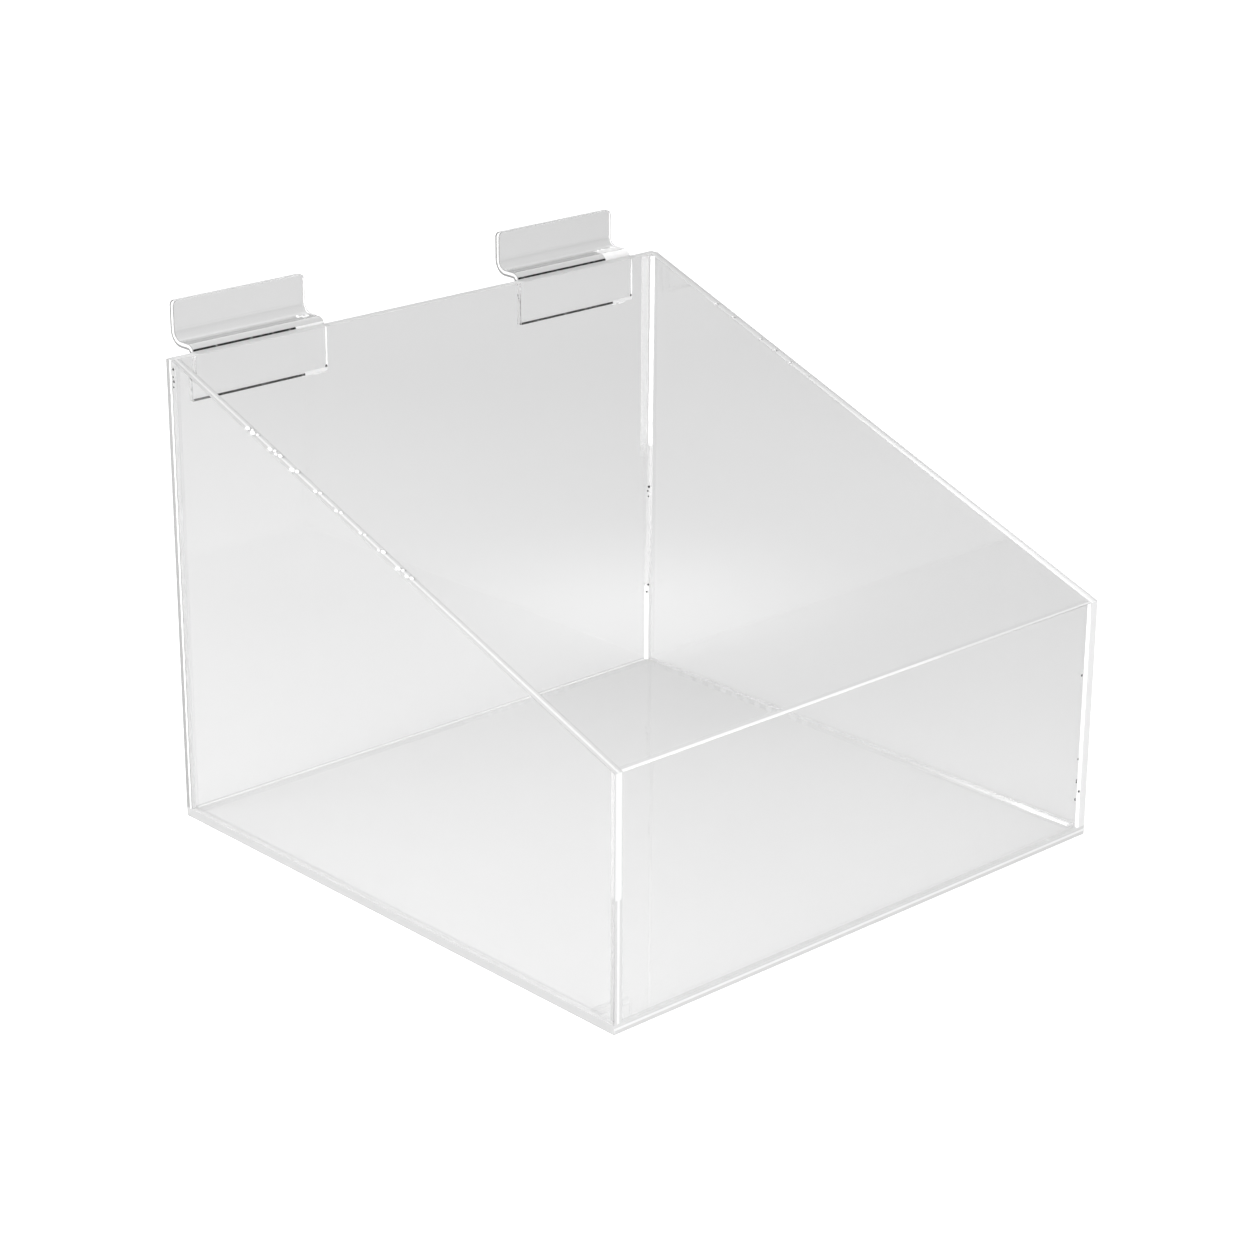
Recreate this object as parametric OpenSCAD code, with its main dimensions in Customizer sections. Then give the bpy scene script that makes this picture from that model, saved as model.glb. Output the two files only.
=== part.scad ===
// Slatwall display bin: five clear sheets cemented edge to face, hung by two bent hooks.
// The origin is the middle of the base plate's underside, the wall is towards +Y and up is +Z.

/* [Bin] */
// Outside width, across both sides
bin_w = 200; // [160:1:400]
// Outside depth, from the front face to the rear face of the back panel
bin_d = 200; // [120:1:400]
// Height of the back panel's top edge above the underside
back_h = 150; // [120:1:300]
// Height of the front panel's top edge above the underside
front_h = 78; // [40:1:110]
// Thickness of the sheet that the five flat panels are cut from
sheet_t = 3; // [2:0.5:6]

/* [Hooks] */
// Width of each hook strip
hook_w = 50; // [20:1:60]
// Distance from the bin's outside to the outer end of each hook
hook_inset = 10; // [0:1:15]
// Thickness of the strip that the hooks are bent from
hook_t = 2; // [1.5:0.5:4]
// Height of the lower leg that is cemented behind the back panel
leg_h = 15; // [8:1:30]
// Clear depth for the slat's lip, between the lower leg and the flange
lip_gap = 7.5; // [6:0.5:12]
// Height of the flange above the web, inside the slat's groove
flange_h = 12; // [8:1:20]
// Inside radius of the bend between the lower leg and the web
leg_bend_r = 0.6; // [0.3:0.1:1]
// Inside radius of the bend between the web and the flange
flange_bend_r = 3; // [1:0.5:4]
// Radius on the flange's two top corners
flange_corner_r = 1.5; // [0.5:0.5:3]

/* [Hidden] */

$fn = 64;
sheet_colour = [0.93, 0.95, 0.96, 0.45];
hook_colour = [0.86, 0.89, 0.91, 0.55];

half_w = bin_w / 2;
rear_y = bin_d / 2;
front_y = -bin_d / 2;
// The sides run from the back panel's inner face to the front face
side_rear_y = rear_y - sheet_t;
front_panel_w = bin_w - 2 * sheet_t;

// Heights and depths along the hook's bent profile
leg_rear_y = rear_y + hook_t;
flange_front_y = leg_rear_y + lip_gap;
flange_rear_y = flange_front_y + hook_t;
leg_bottom_z = back_h - leg_h;
web_top_z = back_h + hook_t;
flange_top_z = web_top_z + flange_h;
hook_middle_x = half_w - hook_inset - hook_w / 2;

// A box given by its two opposite corners
module corner_box(low, high) {
    translate(low)
        cube(high - low);
}

// A shape drawn as (Y, Z) points and drawn out along X, starting at x
module along_x(x, width) {
    translate([x, 0, 0])
        rotate([90, 0, 90])
            linear_extrude(height = width)
                children();
}

// Quarter of a bent strip in the plane of the profile, turned by quarters of a circle
module bend(centre, inside_r, turn) {
    translate(centre)
        rotate(turn)
            intersection() {
                difference() {
                    circle(r = inside_r + hook_t);
                    circle(r = inside_r);
                }
                square(inside_r + hook_t);
            }
}

// A straight stretch of the strip's profile between two opposite corners
module stretch(low, high) {
    translate(low)
        square(high - low);
}

// Lower leg, web and flange of the hook as one strip of even thickness
module hook_profile() {
    stretch([rear_y, leg_bottom_z], [leg_rear_y, back_h - leg_bend_r]);
    bend([leg_rear_y + leg_bend_r, back_h - leg_bend_r], leg_bend_r, 90);
    stretch([leg_rear_y + leg_bend_r, back_h], [flange_front_y - flange_bend_r, web_top_z]);
    bend([flange_front_y - flange_bend_r, web_top_z + flange_bend_r], flange_bend_r, 270);
    stretch([flange_front_y, web_top_z + flange_bend_r], [flange_rear_y, flange_top_z]);
}

// The strip's outline as seen from the front, with its two top corners rounded
module hook_outline() {
    shoulder_z = flange_top_z - flange_corner_r;
    corner_x = hook_w / 2 - flange_corner_r;
    translate([-hook_w / 2, leg_bottom_z])
        square([hook_w, shoulder_z - leg_bottom_z]);
    translate([-corner_x, shoulder_z])
        square([2 * corner_x, flange_corner_r]);
    for (side = [-1, 1])
        translate([side * corner_x, shoulder_z])
            circle(r = flange_corner_r);
}

module hook() {
    color(hook_colour)
        intersection() {
            along_x(-hook_w / 2, hook_w)
                hook_profile();
            translate([0, flange_rear_y + hook_t, 0])
                rotate([90, 0, 0])
                    linear_extrude(height = flange_rear_y + 2 * hook_t - rear_y)
                        hook_outline();
        }
}

// Side sheet with its sloping top edge, starting at x
module side_sheet(x) {
    color(sheet_colour)
        along_x(x, sheet_t)
            polygon([
                [front_y, sheet_t],
                [side_rear_y, sheet_t],
                [side_rear_y, back_h],
                [front_y, front_h]
            ]);
}

module base_plate() {
    color(sheet_colour)
        corner_box([-half_w, front_y, 0], [half_w, rear_y, sheet_t]);
}

module back_panel() {
    color(sheet_colour)
        corner_box([-half_w, side_rear_y, sheet_t], [half_w, rear_y, back_h]);
}

module left_side() {
    side_sheet(-half_w);
}

module right_side() {
    side_sheet(half_w - sheet_t);
}

module front_panel() {
    color(sheet_colour)
        corner_box([-front_panel_w / 2, front_y, sheet_t], [front_panel_w / 2, front_y + sheet_t, front_h]);
}

module left_hook() {
    translate([-hook_middle_x, 0, 0])
        hook();
}

module right_hook() {
    translate([hook_middle_x, 0, 0])
        hook();
}

base_plate();
back_panel();
left_side();
right_side();
front_panel();
left_hook();
right_hook();
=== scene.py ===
# %% [markdown]
# # A clear display bin that hangs on slatwall
# The bin is five sheets of clear acrylic, cemented edge to face, and two bent hooks.
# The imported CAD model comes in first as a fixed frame, so each piece that is made here
# takes its place and size from the solid that it stands for.

# %% Load the frame
import math

import bmesh
import bpy
from mathutils import Matrix, Vector


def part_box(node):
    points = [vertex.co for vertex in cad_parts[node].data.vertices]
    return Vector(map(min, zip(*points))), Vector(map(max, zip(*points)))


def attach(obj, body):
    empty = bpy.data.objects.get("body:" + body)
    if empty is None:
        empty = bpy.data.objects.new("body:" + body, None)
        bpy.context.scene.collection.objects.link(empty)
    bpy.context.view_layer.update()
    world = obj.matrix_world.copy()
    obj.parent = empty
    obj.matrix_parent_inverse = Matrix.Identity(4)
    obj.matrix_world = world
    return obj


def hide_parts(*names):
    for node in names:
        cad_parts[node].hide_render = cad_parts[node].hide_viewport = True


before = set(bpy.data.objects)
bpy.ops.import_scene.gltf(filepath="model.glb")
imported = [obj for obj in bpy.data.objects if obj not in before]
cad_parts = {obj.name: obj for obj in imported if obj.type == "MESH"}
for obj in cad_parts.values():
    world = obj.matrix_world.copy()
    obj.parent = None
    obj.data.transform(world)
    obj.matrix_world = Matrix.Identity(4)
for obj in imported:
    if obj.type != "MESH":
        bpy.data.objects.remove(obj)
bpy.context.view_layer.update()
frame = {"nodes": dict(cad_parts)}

scene = bpy.context.scene
MM = 0.001
X_AXIS = Vector((1, 0, 0))
Y_AXIS = Vector((0, 1, 0))
Z_AXIS = Vector((0, 0, 1))
print("nodes in the frame:", ", ".join(frame["nodes"]))

# %% [markdown]
# ## The camera
# The picture was taken from above the left front corner with a long lens. The camera is
# given as a place, a direction and a small roll, because these were worked out from the
# bin's own corners. No shift is needed.

# %% Camera
CAMERA_PLACE = Vector((-0.6337, -0.6800, 0.4173))
LOOKS_TOWARDS = math.radians(42.80)
LOOKS_DOWN = math.radians(20.64)
ROLL = math.radians(0.29)
IMAGE_SIDE = 1250
FOCAL_PIXELS = 3225.6
SENSOR = 36.0


def add_object(name, data):
    thing = bpy.data.objects.new(name, data)
    scene.collection.objects.link(thing)
    return thing


def direction(towards, rise):
    """A unit vector from a compass angle, counted from +Y to +X, and a rise above the level."""
    level = math.cos(rise)
    return Vector((math.sin(towards) * level, math.cos(towards) * level, math.sin(rise)))


ahead = direction(LOOKS_TOWARDS, -LOOKS_DOWN)
level_right = Vector((math.cos(LOOKS_TOWARDS), -math.sin(LOOKS_TOWARDS), 0))
level_up = level_right.cross(ahead)
picture_right = math.cos(ROLL) * level_right + math.sin(ROLL) * level_up
picture_up = math.cos(ROLL) * level_up - math.sin(ROLL) * level_right
lens = bpy.data.cameras.new("camera")
lens.sensor_width = SENSOR
lens.lens = FOCAL_PIXELS * SENSOR / IMAGE_SIDE
camera = add_object("camera", lens)
pose = Matrix((picture_right, picture_up, -ahead)).transposed().to_4x4()
pose.translation = CAMERA_PLACE
camera.matrix_world = pose
scene.camera = camera
scene.view_settings.view_transform = "Standard"
print(f"lens {lens.lens:.1f} mm")

# %% [markdown]
# ## Node helpers
# Every finish here is a small tree of nodes. A few helpers keep the cells short: they add a
# node, wire an output to an input, do sums, mix two shaders, and start and end a material.


# %% Node helpers
def add_node(tree, kind, label="", operation=None, **values):
    """A labelled node, with values for its inputs, where Base_Color stands for "Base Color"."""
    node = tree.nodes.new(kind)
    node.label = label
    if operation:
        node.operation = operation
    for name, value in values.items():
        node.inputs[name.replace("_", " ")].default_value = value
    return node


def wire(source, target):
    source.id_data.links.new(source, target)


def maths(tree, operation, *values):
    """The result of a Math node on outputs of other nodes and on plain numbers."""
    node = add_node(tree, "ShaderNodeMath", operation=operation)
    for socket, value in zip(node.inputs, values):
        if isinstance(value, bpy.types.NodeSocket):
            wire(value, socket)
        else:
            socket.default_value = value
    return node.outputs[0]


def mixed(tree, share, first, second):
    """The result of a Mix Shader."""
    node = add_node(tree, "ShaderNodeMixShader")
    for socket, source in zip(node.inputs, (share, first, second)):
        wire(source, socket)
    return node.outputs[0]


def spread(source, levels, values, smooth=False):
    """Stretches the range between two levels to two values, evenly or with soft ends."""
    node = add_node(source.id_data, "ShaderNodeMapRange")
    if smooth:
        node.interpolation_type = "SMOOTHSTEP"
    for name, value in zip(("From Min", "From Max", "To Min", "To Max"), (*levels, *values)):
        node.inputs[name].default_value = value
    wire(source, node.inputs["Value"])
    return node.outputs["Result"]


def grey(value):
    return (value, value, value, 1.0)


def new_material(name):
    """An empty material and its tree."""
    material = bpy.data.materials.new(name)
    material.use_nodes = True
    material.node_tree.nodes.clear()
    return material, material.node_tree


def end_material(tree, shader):
    out = add_node(tree, "ShaderNodeOutputMaterial")
    wire(shader, out.inputs["Surface"])


print("node helpers are ready")

# %% [markdown]
# ## The table
# The bin stands on a plain pale table. The lamps shade it, so clear sheet shows a soft grey
# with the bin's own shadows in it. Straight to the camera the table is lifted to white, by
# a glow that only camera rays see in full.

# %% Table
TABLE_HALF = 5.0
TABLE_DROP = 0.3 * MM
TABLE_GREY = 0.80
LIFT_TO_CAMERA = 0.70
LIFT_TO_SHEET = 0.035


def table_finish():
    """A pale matt table that looks white straight to the camera and keeps its shadows."""
    material, tree = new_material("pale_table")
    matt = add_node(tree, "ShaderNodeBsdfDiffuse", "matt top", Color=grey(TABLE_GREY))
    path = add_node(tree, "ShaderNodeLightPath").outputs
    straight = maths(tree, "MULTIPLY", path["Is Camera Ray"], LIFT_TO_CAMERA)
    by_sheet = maths(tree, "MAXIMUM", path["Is Glossy Ray"], path["Is Transmission Ray"])
    glow = add_node(tree, "ShaderNodeEmission", "lift")
    wire(maths(tree, "MULTIPLY_ADD", by_sheet, LIFT_TO_SHEET, straight), glow.inputs["Strength"])
    both = add_node(tree, "ShaderNodeAddShader")
    wire(matt.outputs[0], both.inputs[0])
    wire(glow.outputs[0], both.inputs[1])
    end_material(tree, both.outputs[0])
    return material


def kept_mesh(name, shape, finishes):
    """The shape as a mesh with these finishes."""
    mesh = bpy.data.meshes.new(name)
    shape.to_mesh(mesh)
    shape.free()
    for finish in finishes:
        mesh.materials.append(finish)
    return mesh


table_top = bmesh.new()
bmesh.ops.create_grid(table_top, x_segments=1, y_segments=1, size=TABLE_HALF)
bmesh.ops.translate(table_top, verts=table_top.verts, vec=(0, 0, -TABLE_DROP))
table = add_object("table", kept_mesh("table", table_top, [table_finish()]))
print("table laid", TABLE_DROP / MM, "mm under the base")

# %% [markdown]
# ## Soft boxes
# Three square soft boxes light the bin. The left one is near, so the table grows darker
# towards the right. One stands low and one high in front, and they light the front edges.
# Area lamps give the soft shadows that such boxes throw.

# %% Soft boxes
LIT_SPOT = Vector((0, 0, 0.05))
BOX_SIDE = 0.75


def soft_box(name, towards, rise, away, watts):
    """A square lamp that stands off in one direction, in degrees, and faces the bin."""
    way = direction(math.radians(towards), math.radians(rise))
    lamp = bpy.data.lights.new(name, "AREA")
    lamp.shape = "SQUARE"
    lamp.size = BOX_SIDE
    lamp.energy = watts
    holder = add_object(name, lamp)
    holder.location = LIT_SPOT + way * away
    holder.rotation_euler = (-way).to_track_quat("-Z", "Y").to_euler()


soft_box("left_soft_box", towards=-81, rise=30, away=1.6, watts=26)
soft_box("low_soft_box", towards=205, rise=12, away=2.6, watts=29)
soft_box("front_soft_box", towards=166, rise=48, away=3.0, watts=16)
print("three soft boxes")

# %% [markdown]
# ## Pools of light on the table
# Clear sheets bend light, and it falls beside them in pale pools. To trace such light takes
# very many samples, so three spot lamps shine straight down instead: by the rear right
# corner, further behind it, and beside the right side. No sheet mirrors them.

# %% Pools of light
SPOT_HIGH = 1.2
SPOT_RADIUS = 0.05
SOFT_TO_THE_MIDDLE = 1.0


def table_spot(name, aim, wide, watts):
    """A soft pool of light on the table, straight down on one place and so many degrees wide."""
    lamp = bpy.data.lights.new(name, "SPOT")
    lamp.energy = watts
    lamp.spot_size = math.radians(wide)
    lamp.spot_blend = SOFT_TO_THE_MIDDLE
    lamp.shadow_soft_size = SPOT_RADIUS
    holder = add_object(name, lamp)
    holder.location = Vector(aim) + Z_AXIS * SPOT_HIGH
    holder.visible_glossy = False
    holder.visible_transmission = False


table_spot("corner_spot", aim=(0.142, 0.142, 0), wide=8, watts=8.0)
table_spot("far_spot", aim=(0.45, 0.64, 0), wide=28, watts=4.5)
table_spot("side_spot", aim=(0.112, -0.048, 0), wide=5.4, watts=4.5)
print("three pools of light")

# %% [markdown]
# ## The room
# The sheets mirror the room. It is dark near the level and paler above, with a large soft
# patch high behind the bin, which the floor mirrors, and a small one low at the left rear.
# Straight to the camera it is white. Light crosses the sheets many times, so the limits on
# bounces are high.

# %% Room light
ROOM_DARK = 0.05
ROOM_PALE = 0.29
PALE_FROM = math.radians(23.0)
PALE_ABOVE = math.radians(28.0)
ALL_BOUNCES = 160
SHEET_BOUNCES = 128
CLEAR_BOUNCES = 96


def room_patch(tree, place, towards, rise, full, ends, strength):
    """A soft round patch of light in the room, given by its middle and two radii in degrees."""
    near = add_node(tree, "ShaderNodeVectorMath", "how near to the patch", "DOT_PRODUCT")
    near.inputs[1].default_value = direction(math.radians(towards), math.radians(rise))
    wire(place, near.inputs[0])
    edges = (math.cos(math.radians(ends)), math.cos(math.radians(full)))
    return spread(near.outputs["Value"], edges, (0.0, strength), smooth=True)


def room_light():
    """A dark room that is paler above, with two patches, and white to the camera."""
    world = bpy.data.worlds.new("pale_room")
    world.use_nodes = True
    tree = world.node_tree
    sky = tree.nodes["Background"]
    sky.inputs["Color"].default_value = grey(1)
    place = add_node(tree, "ShaderNodeTexCoord").outputs["Generated"]
    split = add_node(tree, "ShaderNodeSeparateXYZ")
    wire(place, split.inputs[0])
    rises = (math.sin(PALE_FROM), math.sin(PALE_ABOVE))
    light = spread(split.outputs["Z"], rises, (ROOM_DARK, ROOM_PALE), smooth=True)
    patches = (
        room_patch(tree, place, towards=43, rise=46, full=21, ends=28, strength=0.85),
        room_patch(tree, place, towards=-43, rise=13, full=4, ends=7, strength=1.0),
    )
    for patch in patches:
        light = maths(tree, "ADD", light, patch)
    path = add_node(tree, "ShaderNodeLightPath")
    white = add_node(tree, "ShaderNodeMix", "white to the camera", B=1.0)
    wire(light, white.inputs["A"])
    wire(path.outputs["Is Camera Ray"], white.inputs["Factor"])
    wire(white.outputs["Result"], sky.inputs["Strength"])
    return world


scene.world = room_light()
scene.cycles.max_bounces = ALL_BOUNCES
scene.cycles.glossy_bounces = SHEET_BOUNCES
scene.cycles.transmission_bounces = SHEET_BOUNCES
scene.cycles.transparent_max_bounces = CLEAR_BOUNCES
scene.cycles.caustics_refractive = False
scene.cycles.caustics_reflective = False
print("room light from", ROOM_DARK, "to", ROOM_PALE)

# %% [markdown]
# ## Clear acrylic
# Cast acrylic is clear, very smooth and bends light a little less than glass does. Lamps
# shine through it, so the finish swaps to a faintly grey Transparent shader for the rays
# that carry soft light. A slow noise gives the faint smears of handling.

# %% Clear acrylic
ACRYLIC_BEND = 1.49
SHEET_TINT = grey(0.997)
STRIP_TINT = grey(0.994)
SHEET_PASSES = 0.965
BASE_PASSES = 0.985
SMEAR_SIZE = 0.03
SMEAR_LEVELS = (0.5, 0.75)
SMEAR_ROUGHNESS = (0.0, 0.012)
PLAIN_NOISE = 2.0
RICH_NOISE = 3.0


def lets_light_through(tree, shown, passes):
    """Ends a tree so that lamps and soft light cross the surface, and other rays meet its shader."""
    clear = add_node(tree, "ShaderNodeBsdfTransparent", "for soft light", Color=grey(passes))
    path = add_node(tree, "ShaderNodeLightPath")
    for ray in ("Is Shadow Ray", "Is Diffuse Ray"):
        shown = mixed(tree, path.outputs[ray], shown, clear.outputs[0])
    end_material(tree, shown)


def noise_at(tree, size, detail=PLAIN_NOISE):
    """Noise on Object coordinates, with waves of about this size in metres."""
    place = add_node(tree, "ShaderNodeTexCoord")
    noise = add_node(tree, "ShaderNodeTexNoise", Scale=1 / size, Detail=detail)
    wire(place.outputs["Object"], noise.inputs["Vector"])
    return noise.outputs["Fac"]


def clear_finish(name, tint, passes):
    """Clear acrylic with faint smears in its roughness."""
    material, tree = new_material(name)
    clear = {"Base_Color": tint, "IOR": ACRYLIC_BEND, "Transmission_Weight": 1.0}
    body = add_node(tree, "ShaderNodeBsdfPrincipled", "acrylic", **clear)
    smears = noise_at(tree, SMEAR_SIZE, RICH_NOISE)
    wire(spread(smears, SMEAR_LEVELS, SMEAR_ROUGHNESS), body.inputs["Roughness"])
    lets_light_through(tree, body.outputs[0], passes)
    return material


clear_sheet = clear_finish("clear_sheet", SHEET_TINT, SHEET_PASSES)
clear_strip = clear_finish("clear_strip", STRIP_TINT, SHEET_PASSES)
clear_base = clear_finish("clear_base", SHEET_TINT, BASE_PASSES)
print("clear finishes", clear_sheet.name, clear_strip.name, clear_base.name)

# %% [markdown]
# ## Cut edges
# Light that enters a sheet at one edge comes out at another, so a sawn edge glows. Here the
# glow and its shade are painted into the edge's colour: how pale an edge is painted depends
# on where its light comes from, and some stretches are painted brighter still. One nearly
# opaque recipe gives all these painted tones, with fine saw marks.

# %% Edge finish
EDGE_PASSES = 0.6
EDGE_CLEAR = 0.05
SHADED_CLEAR = 0.2
SAW_MARK = 0.4 * MM
SAW_LEVELS = (0.3, 0.7)
SAW_ROUGHNESS = (0.30, 0.42)
SAW_TONE = 0.04


def edge_finish(name, white, clear=EDGE_CLEAR):
    """An edge of one tone, with saw marks in it, that is a little clear."""
    material, tree = new_material(name)
    body = add_node(tree, "ShaderNodeBsdfPrincipled", "edge", IOR=ACRYLIC_BEND, Transmission_Weight=clear)
    marks = noise_at(tree, SAW_MARK)
    wire(spread(marks, SAW_LEVELS, SAW_ROUGHNESS), body.inputs["Roughness"])
    tone = add_node(tree, "ShaderNodeMix", "tone")
    tone.data_type = "RGBA"
    tone.inputs["A"].default_value = grey(white - SAW_TONE)
    tone.inputs["B"].default_value = grey(white)
    wire(marks, tone.inputs["Factor"])
    wire(tone.outputs["Result"], body.inputs["Base Color"])
    lets_light_through(tree, body.outputs[0], EDGE_PASSES)
    return material


# Eight painted tones of glow and shade for the edges, from white to a dark grey.
bright_edge = edge_finish("bright_edge", 1.0)
pale_edge = edge_finish("pale_edge", 0.93)
satin_edge = edge_finish("satin_edge", 0.78)
grey_edge = edge_finish("grey_edge", 0.65)
dull_edge = edge_finish("dull_edge", 0.53)
shaded_edge = edge_finish("shaded_edge", 0.40, SHADED_CLEAR)
painted_shade_edge = edge_finish("painted_shade_edge", 0.36)
outline_edge = edge_finish("outline_edge", 0.24)
print("eight tones of edge, from", bright_edge.name, "to", outline_edge.name)

# %% [markdown]
# ## Cement joints
# Solvent cement runs into a joint by itself. Where it wets both faces the joint vanishes,
# and where it doesn't, a thin film of air is left that looks white. A ramp along the seam
# mixes the two, with a speckle of tiny bubbles. How pale the dry part is, from seam to seam
# and along a seam, is partly the air's own white and partly painted glow and shade. A seam
# shows straight and through the sheets, and only the far end of the back panel shows in
# mirror images too.

# %% Joint finish
SPECKLE = 0.5 * MM
SPECK_LEVELS = (0.3, 0.7)
SPECK_AMOUNT = (0.9, 1.1)
PORE_LEVELS = (0.66, 0.74)
PORE_SHADE = (1.0, 0.5)
DRY_ROUGHNESS = 0.5
JOINT_PASSES = 0.97
NO_MIRROR = 0.5
MANY_MIRRORS = 999


def seam_finish(name, stops, along="Z", mirrored=False):
    """stops are (place along the seam in mm, how dry the cement is, how pale it is where dry, partly painted
    glow and shade).
    """
    material, tree = new_material(name)
    place = add_node(tree, "ShaderNodeTexCoord")
    split = add_node(tree, "ShaderNodeSeparateXYZ")
    wire(place.outputs["Object"], split.inputs[0])
    low, high = stops[0][0], stops[-1][0]
    ramp = add_node(tree, "ShaderNodeValToRGB", "pale and dry")
    wire(spread(split.outputs[along], (low * MM, high * MM), (0.0, 1.0)), ramp.inputs[0])
    while len(ramp.color_ramp.elements) < len(stops):
        ramp.color_ramp.elements.new(1.0)
    for element, (spot, dryness, pale) in zip(ramp.color_ramp.elements, stops):
        element.position = (spot - low) / (high - low)
        element.color = (pale, pale, pale, dryness)
    specks = noise_at(tree, SPECKLE)
    pores = add_node(tree, "ShaderNodeVectorMath", "pores", "SCALE")
    wire(ramp.outputs["Color"], pores.inputs[0])
    wire(spread(specks, PORE_LEVELS, PORE_SHADE), pores.inputs["Scale"])
    dry = add_node(tree, "ShaderNodeBsdfPrincipled", "dry", Roughness=DRY_ROUGHNESS)
    wire(pores.outputs[0], dry.inputs["Base Color"])
    amount = maths(tree, "MULTIPLY", ramp.outputs["Alpha"], spread(specks, SPECK_LEVELS, SPECK_AMOUNT))
    amount.node.use_clamp = True
    mirrors = add_node(tree, "ShaderNodeLightPath").outputs["Glossy Depth"]
    straight = maths(tree, "LESS_THAN", mirrors, MANY_MIRRORS if mirrored else NO_MIRROR)
    seen = maths(tree, "MULTIPLY", amount, straight)
    wet = add_node(tree, "ShaderNodeBsdfTransparent", "wetted")
    lets_light_through(tree, mixed(tree, seen, wet.outputs[0], dry.outputs[0]), JOINT_PASSES)
    return material


def even(ends, dryness, pale):
    """The stops of a seam that looks the same from end to end."""
    return [(place, dryness, pale) for place in ends]


BACK_SEAM = (0, 150)
FRONT_SEAM = (0, 78)
FOOT_SEAM = (-100, 100)
HOOK_SEAM = (130, 150)
# The dry tones are partly painted shade and glow: the front left seam is painted greyer below 40 mm, the foot
# seam grey, and the far end dark at the foot and white at the top.
left_stops = [(0, 0.8, 0.54), (40, 0.8, 0.54), (41, 0.8, 0.63), (78, 0.8, 0.63)]
right_stops = [(-100, 0.4, 0.9), (-74, 0.4, 0.9), (-70, 0, 0.9), (100, 0, 0.9)]
rear_right_joint = seam_finish("rear_right_joint", even(BACK_SEAM, 0.85, 0.95))
rear_left_joint = seam_finish("rear_left_joint", even(BACK_SEAM, 0.85, 0.80))
front_left_joint = seam_finish("front_left_joint", left_stops)
front_right_joint = seam_finish("front_right_joint", even(FRONT_SEAM, 0.9, 0.98))
foot_joint = seam_finish("foot_joint", even(FOOT_SEAM, 0.8, 0.75), "X")
right_foot_joint = seam_finish("right_foot_joint", right_stops, "Y")
far_end = seam_finish("far_end", [(0, 1, 0.26), (150, 1, 1.0)], mirrored=True)
hook_joint = seam_finish("hook_joint", even(HOOK_SEAM, 0.01, 0.98))
print("joints at the corners, the foot, the far end and the hooks")

# %% [markdown]
# ## The five sheets
# Each sheet is a flat outline drawn out by its thickness, with every free edge rounded.
# Cuts divide its faces, so that each takes the finish of a broad face, an edge or a joint. A
# hair's breadth is left in the joints, so that Cycles can tell the faces apart.

# %% Sheet maker
EDGE_ROUND = 0.12 * MM
EDGE_STEPS = 2
ROUND_PROFILE = 0.5
HAIR = 0.05 * MM
SEAM = 0.02 * MM
SAME_PLACE = 1e-7
SQUARE_ON = 0.999


def add_piece(name, mesh, node=None):
    """A piece that rides with the bin, and that may stand for a CAD node."""
    piece = add_object(name, mesh)
    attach(piece, "root")
    if node:
        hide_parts(node)
    print(name, "has", len(mesh.polygons), "faces and", len(mesh.materials), "finishes")


def face_outwards(shape):
    bmesh.ops.recalc_face_normals(shape, faces=shape.faces)


def round_edges(shape, edges, radius, steps):
    bmesh.ops.bevel(shape, geom=edges, offset=radius, segments=steps, profile=ROUND_PROFILE, affect="EDGES")


def planes(axis, places):
    """Cuts square to one axis, at these places along it."""
    return [(axis * place, axis) for place in places]


def cut_faces(shape, cuts):
    """Divides the faces along planes, each given by a point and a direction."""
    for point, way in cuts:
        everything = shape.verts[:] + shape.edges[:] + shape.faces[:]
        bmesh.ops.bisect_plane(shape, geom=everything, dist=SAME_PLACE, plane_co=point, plane_no=way)


def coat_faces(shape, main, choose):
    """Gives every face its finish, and lists the finishes with the main one first."""
    finishes = [main]
    for face in shape.faces:
        finish = choose(face.calc_center_median(), face.normal)
        if finish not in finishes:
            finishes.append(finish)
        face.material_index = finishes.index(finish)
    return finishes


def lay_sheet(name, node, outline, through, cuts, main, choose, in_joint):
    """A flat sheet from the outline of one broad face and the way through to the other."""
    shape = bmesh.new()
    near = [shape.verts.new(point) for point in outline]
    far = [shape.verts.new(Vector(point) + through) for point in outline]
    shape.faces.new(near)
    shape.faces.new(list(reversed(far)))
    for i in range(len(outline)):
        j = (i + 1) % len(outline)
        shape.faces.new((near[i], far[i], far[j], near[j]))
    face_outwards(shape)
    free = [edge for edge in shape.edges if not in_joint((edge.verts[0].co + edge.verts[1].co) / 2)]
    round_edges(shape, free, EDGE_ROUND, EDGE_STEPS)
    cut_faces(shape, cuts)
    face_outwards(shape)
    finishes = coat_faces(shape, main, choose)
    for face in shape.faces:
        face.smooth = max(abs(part) for part in face.normal) <= SQUARE_ON
    add_piece(name, kept_mesh(name, shape, finishes), node=node)


base_low, base_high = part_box("base_plate")
hook_low, hook_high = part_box("right_hook")
SHEET = base_high[2] - base_low[2]
half_wide = base_high[0]
inside = half_wide - SHEET
rear = base_high[1]
rear_inside = rear - SHEET
fore = base_low[1]
fore_inside = fore + SHEET
back_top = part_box("back_panel")[1][2]
front_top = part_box("front_panel")[1][2]
foot = base_high[2] + SEAM
print(f"sheets are {SHEET / MM:.1f} mm thick")

# %% [markdown]
# ## Base sheet
# The other sheets stand on the base, and its sawn edge shows all round the foot, with a thin
# bright line painted along the front as glow, and its two ends painted grey as shade. Its top
# face is cut along the feet of the other sheets, which leaves narrow strips that take the
# finish of a joint.

# %% Base sheet
MOSTLY = 0.5
FOOT_GLOW_LINE = (1.25 * MM, 2.0 * MM)
shaded_base_end = edge_finish("shaded_base_end", 0.61)


def four_corners(left, right, bottom, top):
    return [(left, bottom), (right, bottom), (right, top), (left, top)]


# A thin band of the front face is painted bright as glow; the two ends are painted grey as shade.
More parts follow.
